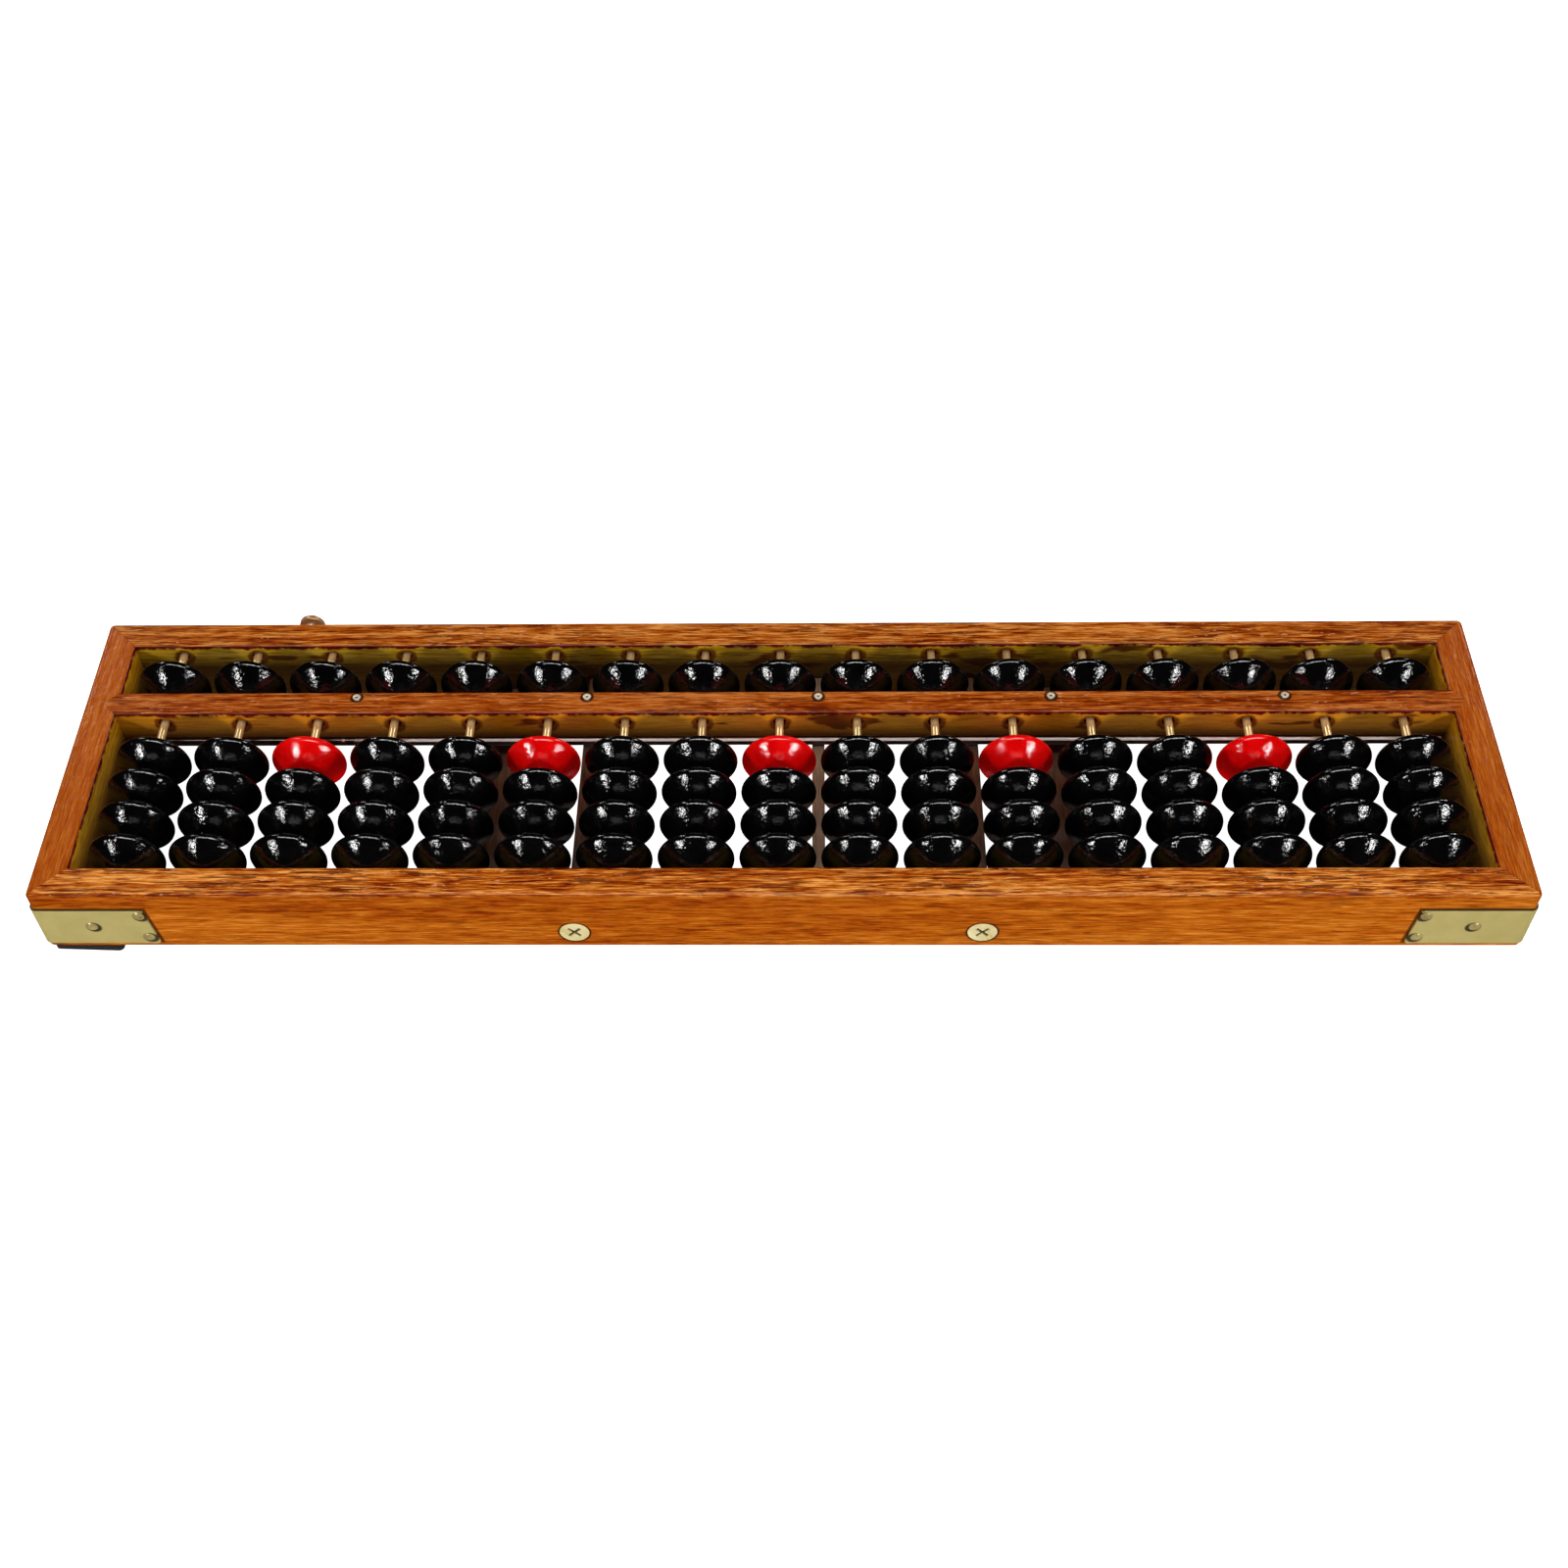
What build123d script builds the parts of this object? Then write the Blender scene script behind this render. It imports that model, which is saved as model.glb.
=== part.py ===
"""Wooden desk abacus: seventeen columns, one heaven bead and four earth beads on each, with a push
knob at the back that slides a strip forward and clears the earth beads.

+X runs along the columns to the right, +Y away from the user, +Z up. The model is laid out about the
middle of the wooden frame, then shifted so that the origin is under the middle of the whole box.
"""

import math
import os

from build123d import *

# Wooden frame
FRAME_LENGTH = 380.0
FRAME_WIDTH = 95.0
FRAME_HEIGHT = 22.0
RAIL_WIDTH = 9.2
OUTER_CORNER_R = 1.5
TOP_EDGE_R = 1.2
BOTTOM_EDGE_R = 0.6
INNER_EDGE_R = 0.9
MITRE_GAP = 0.08
FIT_GAP = 0.03

# Rubber pads under the corners
PAD_LENGTH = 18.0
PAD_WIDTH = 7.0
PAD_THICKNESS = 2.3
PAD_INSET = 2.1
LOOSE_PAD_X_INSET = 1.0
LOOSE_PAD_Y_INSET = 0.3
PAD_CORNER_R = 1.2
SKEWED_PAD_ANGLE = 2.0

# Beam between the two decks
BEAM_FRONT_Y = 13.2
BEAM_WIDTH = 8.2
BEAM_HEIGHT = 9.8
BEAM_EDGE_R = 1.0
BEAM_LOWER_EDGE_R = 0.5
BEAM_HOLE_R = 1.9

# Columns, rods and beads
COLUMNS = 17
PITCH = 21.0
ROD_R = 1.1
ROD_HEIGHT = 18.1
ROD_SEAT_DEPTH = 6.0
RAIL_HOLE_R = 1.75
RAIL_HOLE_DEPTH = 2.5
BEAD_R = 9.9
BEAD_THICKNESS = 10.75
BEAD_HUB_R = 3.1
BEAD_RIM_R = 1.3
BEAD_RIM_ANGLE = 47.0
BEAD_HUB_EDGE_R = 0.4
BEAD_BORE_R = 1.2
BEAD_BORE_CHAMFER = 0.35
BEAD_GAP = 0.05
BEADS_PER_STACK = 4
RED_COLUMNS = (3, 6, 9, 12, 15)
STOP_GAP = 0.1

# Marker pins in the top of the beam, each between two columns
PIN_FIRST_X = -5.5 * PITCH
PIN_STEP = 3 * PITCH
PIN_COUNT = 5
PIN_SETBACK = 2.3
PIN_HEAD_R = 1.5
PIN_HEAD_RISE = 0.35
PIN_DIMPLE_R = 0.5
PIN_DIMPLE_DEPTH = 0.25
PIN_SHANK_R = 0.6
PIN_LENGTH = 2.6

# Brass corner plates and their nails
PLATE_THICKNESS = 0.5
PLATE_FOOT_LENGTH = 30.6
PLATE_TOP_LENGTH = 29.0
PLATE_BOTTOM = 2.0
PLATE_HEIGHT = 14.2
PLATE_CORNER_R = 0.8
NAIL_HEAD_R = 1.5
NAIL_HEAD_RISE = 0.6
NAIL_SHANK_R = 0.55
NAIL_LENGTH = 6.0
NAIL_SPOTS = ((14.0, 9.4), (27.2, 13.9), (27.6, 4.8))

# Screws through the front and back rails into the tie bars
SCREW_HEAD_R = 3.8
SCREW_SHANK_R = 1.3
SCREW_HEAD_EDGE = 0.3
SCREW_HEAD_DEPTH = 2.2
SCREW_LENGTH = 20.0
SCREW_RECESS_ARM = 2.2
SCREW_RECESS_WIDTH = 0.8
SCREW_RECESS_DEPTH = 1.3

# Bars that run from front to back under the beads
TIE_X = 52.2
TIE_WIDTH = 4.4
TIE_BOTTOM = 4.0
TIE_HEIGHT = 4.3
BATTEN_X = 76.0
BATTEN_WIDTH = 12.0
BATTEN_HEIGHT = 4.0
BATTEN_LAP = 4.5
SLAT_X = 0.5 * PITCH
SLAT_WIDTH = 3.4
SLAT_BOTTOM = 4.7
SLAT_HEIGHT = 3.6
SLAT_TENON = 3.0
BAR_EDGE_R = 0.5

# Clearing gear
STRIP_FRONT_Y = 12.9
STRIP_DEPTH = 3.0
STRIP_BOTTOM = 8.7
STRIP_HEIGHT = 2.5
STRIP_END_GAP = 1.0
STRIP_EDGE_R = 0.6
CLEAR_TRAVEL = 8.8
PLUNGER_X = -6.5 * PITCH
PLUNGER_R = 1.2
PLUNGER_SEAT = 2.0
PLUNGER_CLEARANCE = 0.06
KNOB_R = 3.6
KNOB_NECK_R = 2.0
KNOB_NECK_LENGTH = 0.6
KNOB_STANDOFF = 9.2
KNOB_THICKNESS = 2.9
KNOB_CROWN = 0.7
KNOB_RIM_R = 0.5
KNOB_SEAT = 2.0
SPRING_POCKET_R = 3.1
SPRING_POCKET_DEPTH = 5.0
SPRING_R = 2.3
SPRING_WIRE_R = 0.25
SPRING_TURNS = 8

# Worked out from the dimensions above
OUTER_X = FRAME_LENGTH / 2
OUTER_Y = FRAME_WIDTH / 2
INNER_X = OUTER_X - RAIL_WIDTH
INNER_Y = OUTER_Y - RAIL_WIDTH
BASE_Z = PAD_THICKNESS
TOP_Z = BASE_Z + FRAME_HEIGHT
ROD_Z = BASE_Z + ROD_HEIGHT
BEAM_BACK_Y = BEAM_FRONT_Y + BEAM_WIDTH
BEAM_MID_Y = (BEAM_FRONT_Y + BEAM_BACK_Y) / 2
BEAM_BOTTOM_Z = TOP_Z - BEAM_HEIGHT
COLUMN_X = [(i - (COLUMNS - 1) / 2) * PITCH for i in range(COLUMNS)]
HEAVEN_Y = BEAM_BACK_Y + STOP_GAP + BEAD_THICKNESS / 2
FIRST_EARTH_Y = -INNER_Y + STOP_GAP + BEAD_THICKNESS / 2
BEAD_STEP = BEAD_THICKNESS + BEAD_GAP
STACK_LENGTH = BEADS_PER_STACK * BEAD_STEP - BEAD_GAP
EARTH_TRAVEL = BEAM_FRONT_Y + INNER_Y - 2 * STOP_GAP - STACK_LENGTH
HEAVEN_TRAVEL = INNER_Y - BEAM_BACK_Y - 2 * STOP_GAP - BEAD_THICKNESS
PLUNGER_Z = BASE_Z + STRIP_BOTTOM + STRIP_HEIGHT / 2
KNOB_FRONT_Y = OUTER_Y + KNOB_STANDOFF
KNOB_BACK_Y = KNOB_FRONT_Y + KNOB_THICKNESS
FRONT_EXTENT = OUTER_Y + PLATE_THICKNESS + NAIL_HEAD_RISE
ORIGIN_Y = (KNOB_BACK_Y - FRONT_EXTENT) / 2

ALONG_Y = (-90, 0, 0)


def rod_along_y(radius, y_from, y_to, x, z):
    """Round bar with its axis along Y."""
    length = y_to - y_from
    bar = Cylinder(radius, length, rotation=ALONG_Y)
    return Pos(x, y_from + length / 2, z) * bar


def block(x_from, x_to, y_from, y_to, z_from, z_to):
    """Rectangular block between two corners."""
    size = (x_to - x_from, y_to - y_from, z_to - z_from)
    middle = Pos((x_from + x_to) / 2, (y_from + y_to) / 2, (z_from + z_to) / 2)
    return middle * Box(*size)


def edges_along(shape, axis):
    """Straight edges that are parallel to one axis."""
    return shape.edges().filter_by(axis)


def prism(points, z_from, z_to):
    """Upright prism over a polygon."""
    face = make_face(Polyline(*points, close=True).edges())
    return Pos(0, 0, z_from) * extrude(face, z_to - z_from)


def frame_ring():
    """The whole wooden frame with rounded edges, before it is divided at the mitres."""
    ring = block(-OUTER_X, OUTER_X, -OUTER_Y, OUTER_Y, BASE_Z, TOP_Z)
    ring = fillet(edges_along(ring, Axis.Z), OUTER_CORNER_R)
    ring = fillet(ring.faces().sort_by(Axis.Z)[-1].edges(), TOP_EDGE_R)
    ring = fillet(ring.faces().sort_by(Axis.Z)[0].edges(), BOTTOM_EDGE_R)
    ring -= block(-INNER_X, INNER_X, -INNER_Y, INNER_Y, BASE_Z - 1, TOP_Z + 1)
    top_face = ring.faces().filter_by(Axis.Z).sort_by(Axis.Z)[-1]
    return fillet(top_face.inner_wires()[0].edges(), INNER_EDGE_R)


def beam_outline(growth):
    """Plan of the beam: straight sides, and ends that come to a point inside the side rails."""
    half = BEAM_WIDTH / 2 + growth
    tip = INNER_X + BEAM_WIDTH / 2 + growth
    shoulder = tip - half
    return [
        (-tip, BEAM_MID_Y),
        (-shoulder, BEAM_MID_Y - half),
        (shoulder, BEAM_MID_Y - half),
        (tip, BEAM_MID_Y),
        (shoulder, BEAM_MID_Y + half),
        (-shoulder, BEAM_MID_Y + half),
    ]


def beam():
    """Bar between the decks, flush with the top of the frame."""
    bar = prism(beam_outline(0), BEAM_BOTTOM_Z, TOP_Z)
    long_edges = edges_along(bar, Axis.X).sort_by(Axis.Z)
    bar = fillet(long_edges[2:], BEAM_EDGE_R)
    bar = fillet(edges_along(bar, Axis.X).sort_by(Axis.Z)[:2], BEAM_LOWER_EDGE_R)
    for x in COLUMN_X:
        bar -= rod_along_y(BEAM_HOLE_R, BEAM_FRONT_Y - 1, BEAM_BACK_Y + 1, x, ROD_Z)
    for x in pin_places():
        bar -= Pos(x, pin_y(), TOP_Z - PIN_LENGTH / 2) * Cylinder(PIN_SHANK_R + FIT_GAP, PIN_LENGTH)
    return bar


def rod_seats():
    """Blind holes for the rods: plain in the front rail, wider at the mouth in the back rail."""
    holes = []
    reach = ROD_SEAT_DEPTH + FIT_GAP
    for x in COLUMN_X:
        seat_r = ROD_R + FIT_GAP
        holes.append(rod_along_y(seat_r, -INNER_Y - reach, -INNER_Y + 1, x, ROD_Z))
        holes.append(rod_along_y(seat_r, INNER_Y - 1, INNER_Y + reach, x, ROD_Z))
        holes.append(rod_along_y(RAIL_HOLE_R, INNER_Y - 1, INNER_Y + RAIL_HOLE_DEPTH, x, ROD_Z))
    return holes


def bar_sockets():
    """Open notches for the battens and blind mortises for the slat, in the front and back rails."""
    cuts = []
    half = BATTEN_WIDTH / 2 + FIT_GAP
    for x in (-BATTEN_X, BATTEN_X):
        lap = INNER_Y + BATTEN_LAP + FIT_GAP
        cuts.append(block(x - half, x + half, -lap, lap, BASE_Z - 1, BASE_Z + BATTEN_HEIGHT + FIT_GAP))
    half = SLAT_WIDTH / 2 + FIT_GAP
    reach = INNER_Y + SLAT_TENON + FIT_GAP
    low = BASE_Z + SLAT_BOTTOM - FIT_GAP
    high = BASE_Z + SLAT_BOTTOM + SLAT_HEIGHT + FIT_GAP
    cuts.append(block(SLAT_X - half, SLAT_X + half, -reach, reach, low, high))
    return cuts


def plunger_bore():
    """Guide hole through the back rail, with the pocket that the return spring sits in."""
    guide = rod_along_y(PLUNGER_R + PLUNGER_CLEARANCE, INNER_Y - 1, OUTER_Y + 1, PLUNGER_X, PLUNGER_Z)
    pocket_from = OUTER_Y - SPRING_POCKET_DEPTH
    pocket = rod_along_y(SPRING_POCKET_R, pocket_from, OUTER_Y + 1, PLUNGER_X, PLUNGER_Z)
    return [guide, pocket]


def screw_profile(growth):
    """Half section of a countersunk screw, radius against depth below the surface."""
    head = SCREW_HEAD_R + growth
    shank = SCREW_SHANK_R + growth
    neck = SCREW_HEAD_DEPTH + growth
    tip = SCREW_LENGTH + growth
    return [(0, 0), (head, 0), (head, SCREW_HEAD_EDGE), (shank, neck), (shank, tip - shank), (0, tip)]


def turned(points):
    """Solid of revolution about Y from points given as radius and distance along Y."""
    return revolve(make_face(Polyline(*points, close=True).edges()), Axis.Y)


def screw_blank(x, side, growth):
    """A screw body in the front rail (side -1) or the back rail (side 1), pointing inwards."""
    blank = turned(screw_profile(growth))
    if side > 0:
        blank = Rot(0, 0, 180) * blank
    return Pos(x, side * OUTER_Y, BASE_Z + TIE_BOTTOM + TIE_HEIGHT / 2) * blank


def frame_screw(x, side):
    """Countersunk screw with a cross recess in its head."""
    screw = screw_blank(x, side, 0)
    z = BASE_Z + TIE_BOTTOM + TIE_HEIGHT / 2
    for angle in (45, -45):
        arm = Box(2 * SCREW_RECESS_ARM, 2 * SCREW_RECESS_DEPTH, SCREW_RECESS_WIDTH)
        screw -= Pos(x, side * OUTER_Y, z) * Rot(0, angle, 0) * arm
    return screw


def screw_places():
    return [(x, side) for side in (-1, 1) for x in (-TIE_X, TIE_X)]


def nail_frames():
    """Every corner-plate nail as (place on the wooden surface, turn about Z, height)."""
    frames = []
    for side_x in (-1, 1):
        for side_y in (-1, 1):
            for from_corner, height in NAIL_SPOTS:
                face_turn = 0 if side_y < 0 else 180
                end_turn = 90 if side_x > 0 else -90
                frames.append((side_x * (OUTER_X - from_corner), side_y * OUTER_Y, face_turn, height))
                frames.append((side_x * OUTER_X, side_y * (OUTER_Y - from_corner), end_turn, height))
    return frames


def dome_arc(radius, base, rise):
    """Half section of a spherical cap, from its rim to its top."""
    ball = (radius**2 + rise**2) / (2 * rise)
    half = radius / 2
    drop = ball - math.sqrt(ball**2 - half**2)
    return ThreePointArc((radius, base), (half, base + rise - drop), (0, base + rise))


def nail():
    """Dome-headed nail that points along +Y into the wood, with the wooden surface at Y = 0."""
    dome = dome_arc(NAIL_HEAD_R, PLATE_THICKNESS, NAIL_HEAD_RISE)
    body = Polyline(dome @ 1, (0, -NAIL_LENGTH), (NAIL_SHANK_R, NAIL_SHANK_R - NAIL_LENGTH),
                    (NAIL_SHANK_R, PLATE_THICKNESS), dome @ 0)
    return Rot(0, 0, 180) * revolve(make_face([dome, *body.edges()]), Axis.Y)


def nail_shanks():
    """Holes that the nails leave in the rails and plates."""
    holes = []
    for x, y, turn, height in nail_frames():
        shank = rod_along_y(NAIL_SHANK_R + FIT_GAP, -2, NAIL_LENGTH + FIT_GAP, 0, 0)
        holes.append(Pos(x, y, BASE_Z + height) * Rot(0, 0, turn) * shank)
    return holes


def rails():
    """The four rails, cut from one ring so that their rounded edges meet at the mitres."""
    ring = frame_ring()
    beam_pocket = prism(beam_outline(FIT_GAP), BEAM_BOTTOM_Z - FIT_GAP, TOP_Z + 1)
    beam_pocket -= block(-INNER_X, INNER_X, -INNER_Y, INNER_Y, BASE_Z, TOP_Z + 1)
    screws = [screw_blank(x, side, FIT_GAP) for x, side in screw_places()]
    front_back_cuts = rod_seats() + bar_sockets() + plunger_bore() + screws + nail_shanks()
    side_cuts = [beam_pocket] + nail_shanks()
    far_x = OUTER_X + 1
    far_y = OUTER_Y + 1
    offset = MITRE_GAP / math.sqrt(2)
    in_x = INNER_X - 1 - offset
    out_x = far_x - offset
    in_y = INNER_Y - 1 - offset
    out_y = far_y - offset
    made = {}
    for name, side in (("front_rail", -1), ("back_rail", 1)):
        plan = [(-out_x, side * far_y), (out_x, side * far_y),
                (in_x, side * (INNER_Y - 1)), (-in_x, side * (INNER_Y - 1))]
        made[name] = (ring & prism(plan, BASE_Z - 1, TOP_Z + 1)).cut(*front_back_cuts)
    for name, side in (("left_rail", -1), ("right_rail", 1)):
        plan = [(side * far_x, -out_y), (side * far_x, out_y),
                (side * (INNER_X - 1), in_y), (side * (INNER_X - 1), -in_y)]
        made[name] = (ring & prism(plan, BASE_Z - 1, TOP_Z + 1)).cut(*side_cuts)
    return made


def bead():
    """Lacquered bead about the origin: two shallow cones with full flanks and a rounded rim."""
    half = BEAD_THICKNESS / 2
    turn = math.radians(BEAD_RIM_ANGLE)
    shoulder_r = BEAD_R - BEAD_RIM_R * (1 - math.cos(turn))
    shoulder_y = BEAD_RIM_R * math.sin(turn)
    rim = ThreePointArc((shoulder_r, -shoulder_y), (BEAD_R, 0), (shoulder_r, shoulder_y))
    flank = TangentArc((shoulder_r, shoulder_y), (BEAD_HUB_R, half), tangent=(-math.sin(turn), math.cos(turn)))
    other_flank = mirror(flank, Plane.XZ)
    mouth = BEAD_BORE_R + BEAD_BORE_CHAMFER
    throat = half - BEAD_BORE_CHAMFER
    inside = Polyline((BEAD_HUB_R, half), (mouth, half), (BEAD_BORE_R, throat),
                      (BEAD_BORE_R, -throat), (mouth, -half), (BEAD_HUB_R, -half))
    section = make_face([rim, flank, other_flank, *inside.edges()])
    hub_edges = section.vertices().filter_by(lambda v: abs(v.X - BEAD_HUB_R) < 0.01)
    return revolve(fillet(hub_edges, BEAD_HUB_EDGE_R), Axis.Y)


def stack_places():
    """Earth bead centres along Y at rest, from the front rail towards the beam."""
    return [FIRST_EARTH_Y + i * BEAD_STEP for i in range(BEADS_PER_STACK)]


def rods():
    """One rod per column, from the front rail through the beam to the back rail."""
    reach = INNER_Y + ROD_SEAT_DEPTH
    return [rod_along_y(ROD_R, -reach, reach, x, ROD_Z) for x in COLUMN_X]


def pin_places():
    return [PIN_FIRST_X + i * PIN_STEP for i in range(PIN_COUNT)]


def pin_y():
    return BEAM_BACK_Y - PIN_SETBACK


def marker_pin(x):
    """Small domed pin with a dimple in its head, sunk into the top of the beam."""
    shoulder = (PIN_HEAD_R * 0.8, PIN_HEAD_RISE * 0.7)
    dome = ThreePointArc((PIN_HEAD_R, 0), shoulder, (PIN_DIMPLE_R, PIN_HEAD_RISE))
    body = Polyline((PIN_DIMPLE_R, PIN_HEAD_RISE), (0, PIN_HEAD_RISE - PIN_DIMPLE_DEPTH),
                    (0, FIT_GAP - PIN_LENGTH), (PIN_SHANK_R, FIT_GAP - PIN_LENGTH), (PIN_SHANK_R, 0),
                    (PIN_HEAD_R, 0))
    pin = revolve(make_face([dome, *body.edges()]), Axis.Y)
    return Pos(x, pin_y(), TOP_Z) * Rot(90, 0, 0) * pin


def plate_wing(plane):
    """One wing of a corner plate as a thick block, drawn flat on a plane of the front-left corner."""
    start = -(OUTER_X if plane == Plane.XZ else OUTER_Y) - PLATE_THICKNESS
    low = BASE_Z + PLATE_BOTTOM
    high = low + PLATE_HEIGHT
    outline = [(start, low), (start + PLATE_FOOT_LENGTH, low), (start + PLATE_TOP_LENGTH, high), (start, high)]
    face = make_face(Polyline(*outline, close=True).edges())
    face = fillet(face.vertices().sort_by(Axis.X)[-2:], PLATE_CORNER_R)
    return extrude(plane * face, 2 * OUTER_X, both=True)


def corner_plate(side_x, side_y):
    """Brass plate bent round one corner of the frame, following its rounded edge."""
    far_x = OUTER_X + PLATE_THICKNESS
    far_y = OUTER_Y + PLATE_THICKNESS
    shell = block(-far_x, far_x, -far_y, far_y, BASE_Z, TOP_Z)
    shell = fillet(edges_along(shell, Axis.Z), OUTER_CORNER_R + PLATE_THICKNESS)
    core = block(-OUTER_X, OUTER_X, -OUTER_Y, OUTER_Y, BASE_Z - 1, TOP_Z + 1)
    shell -= fillet(edges_along(core, Axis.Z), OUTER_CORNER_R)
    bend_x = -OUTER_X + OUTER_CORNER_R
    bend_y = -OUTER_Y + OUTER_CORNER_R
    front = shell & block(-far_x, 0, -far_y, bend_y, BASE_Z, TOP_Z) & plate_wing(Plane.XZ)
    end = shell & block(-far_x, bend_x, bend_y, 0, BASE_Z, TOP_Z) & plate_wing(Plane.YZ)
    plate = front + end
    if side_x > 0:
        plate = mirror(plate, Plane.YZ)
    if side_y > 0:
        plate = mirror(plate, Plane.XZ)
    return plate.cut(*nail_shanks())


def battens():
    """Two flat wooden battens let into the underside of the front and back rails."""
    half = BATTEN_WIDTH / 2
    lap = INNER_Y + BATTEN_LAP
    made = []
    for x in (-BATTEN_X, BATTEN_X):
        bar = block(x - half, x + half, -lap, lap, BASE_Z, BASE_Z + BATTEN_HEIGHT)
        made.append(fillet(edges_along(bar, Axis.Y), BAR_EDGE_R))
    return made


def slat():
    """Narrow upright slat under the beads, tenoned into the front and back rails."""
    reach = INNER_Y + SLAT_TENON
    half = SLAT_WIDTH / 2
    low = BASE_Z + SLAT_BOTTOM
    bar = block(SLAT_X - half, SLAT_X + half, -reach, reach, low, low + SLAT_HEIGHT)
    return fillet(edges_along(bar, Axis.Y), BAR_EDGE_R)


def tie_bars():
    """Two bars between the front and back rails, held by the frame screws at both ends."""
    half = TIE_WIDTH / 2
    low = BASE_Z + TIE_BOTTOM
    end = INNER_Y - FIT_GAP
    made = []
    for x in (-TIE_X, TIE_X):
        bar = block(x - half, x + half, -end, end, low, low + TIE_HEIGHT)
        bar = fillet(edges_along(bar, Axis.Y), BAR_EDGE_R)
        made.append(bar.cut(screw_blank(x, -1, FIT_GAP), screw_blank(x, 1, FIT_GAP)))
    return made


def pads():
    """Four rubber pads; the one at the front left is flush with the frame and a little askew."""
    made = []
    for side_x in (-1, 1):
        for side_y in (-1, 1):
            loose = side_x < 0 and side_y < 0
            x = side_x * (OUTER_X - PAD_LENGTH / 2 - (LOOSE_PAD_X_INSET if loose else PAD_INSET))
            y = side_y * (OUTER_Y - PAD_WIDTH / 2 - (LOOSE_PAD_Y_INSET if loose else PAD_INSET))
            pad = fillet(edges_along(Box(PAD_LENGTH, PAD_WIDTH, PAD_THICKNESS), Axis.Z), PAD_CORNER_R)
            turn = Rot(0, 0, -SKEWED_PAD_ANGLE if loose else 0)
            made.append(Pos(x, y, PAD_THICKNESS / 2) * turn * pad)
    return made


def clearing_strip():
    """Long thin strip under the beam's front edge; it pushes the earth beads towards the user."""
    end = INNER_X - STRIP_END_GAP
    low = BASE_Z + STRIP_BOTTOM
    back = STRIP_FRONT_Y + STRIP_DEPTH
    strip = block(-end, end, STRIP_FRONT_Y, back, low, low + STRIP_HEIGHT)
    strip = fillet(edges_along(strip, Axis.X), STRIP_EDGE_R)
    seat = rod_along_y(PLUNGER_R + FIT_GAP, back - PLUNGER_SEAT - FIT_GAP, back + 1, PLUNGER_X, PLUNGER_Z)
    return strip - seat


def plunger_rod():
    """Steel rod from the clearing strip, under the beam and through the back rail, to the knob."""
    start = STRIP_FRONT_Y + STRIP_DEPTH - PLUNGER_SEAT
    return rod_along_y(PLUNGER_R, start, KNOB_FRONT_Y + KNOB_SEAT - FIT_GAP, PLUNGER_X, PLUNGER_Z)


def push_knob():
    """Brass button on the end of the plunger rod, with a crowned face and a rolled rim."""
    disc = KNOB_THICKNESS - KNOB_CROWN
    crown = dome_arc(KNOB_R, disc, KNOB_CROWN)
    mouth = PLUNGER_R + FIT_GAP
    body = Polyline((0, KNOB_THICKNESS), (0, KNOB_SEAT), (mouth, KNOB_SEAT), (mouth, 0), (KNOB_NECK_R, 0),
                    (KNOB_NECK_R, KNOB_NECK_LENGTH), (KNOB_R, KNOB_NECK_LENGTH), (KNOB_R, disc))
    knob = revolve(make_face([crown, *body.edges()]), Axis.Y)
    rim = knob.edges().filter_by(GeomType.CIRCLE).filter_by(lambda e: abs(e.radius - KNOB_R) < 0.01)
    return Pos(PLUNGER_X, KNOB_FRONT_Y, PLUNGER_Z) * fillet(rim, KNOB_RIM_R)


def return_spring():
    """Coil spring round the plunger rod, between the pocket floor and the knob."""
    start = OUTER_Y - SPRING_POCKET_DEPTH + SPRING_WIRE_R + STOP_GAP
    length = KNOB_FRONT_Y - SPRING_WIRE_R - STOP_GAP - start
    path = Helix(length / SPRING_TURNS, length, SPRING_R)
    wire = Plane(path @ 0, z_dir=path % 0) * Circle(SPRING_WIRE_R)
    coil = sweep(wire, path=path, is_frenet=True)
    return Pos(PLUNGER_X, start, PLUNGER_Z) * Rot(-90, 0, 0) * coil


def save(name, pieces):
    """Write one node, shifted from the middle of the frame to the part's origin."""
    pieces = pieces if isinstance(pieces, list) else [pieces]
    solids = [solid for piece in pieces for solid in piece.solids()]
    placed = [Pos(0, -ORIGIN_Y, 0) * solid for solid in solids]
    shape = placed[0] if len(placed) == 1 else Compound(children=placed)
    export_step(shape, os.path.join("parts", name + ".step"))


def main():
    os.makedirs("parts", exist_ok=True)
    for name, rail in rails().items():
        save(name, rail)
    save("beam", beam())
    save("rods", rods())
    save("marker_pins", [marker_pin(x) for x in pin_places()])
    for side_y, row in ((-1, "front"), (1, "back")):
        for side_x, end in ((-1, "left"), (1, "right")):
            save(f"corner_plate_{row}_{end}", corner_plate(side_x, side_y))
    save("plate_nails", [Pos(x, y, BASE_Z + height) * Rot(0, 0, turn) * nail()
                         for x, y, turn, height in nail_frames()])
    save("frame_screws", [frame_screw(x, side) for x, side in screw_places()])
    save("rubber_pads", pads())
    save("battens", battens())
    save("centre_slat", slat())
    save("tie_bars", tie_bars())
    save("clearing_strip", clearing_strip())
    save("plunger_rod", plunger_rod())
    save("push_knob", push_knob())
    save("return_spring", return_spring())

    shape = bead()
    for number, x in enumerate(COLUMN_X, start=1):
        save(f"heaven_bead_{number:02d}", Pos(x, HEAVEN_Y, ROD_Z) * shape)
        stack = [Pos(x, y, ROD_Z) * shape for y in stack_places()]
        if number in RED_COLUMNS:
            save(f"red_bead_{number:02d}", stack.pop())
        save(f"earth_beads_{number:02d}", stack)
    print("heaven travel", round(HEAVEN_TRAVEL, 2), "earth travel", round(EARTH_TRAVEL, 2))
    print("clearing travel", CLEAR_TRAVEL, "origin shift", round(ORIGIN_Y, 3))


main()
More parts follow.
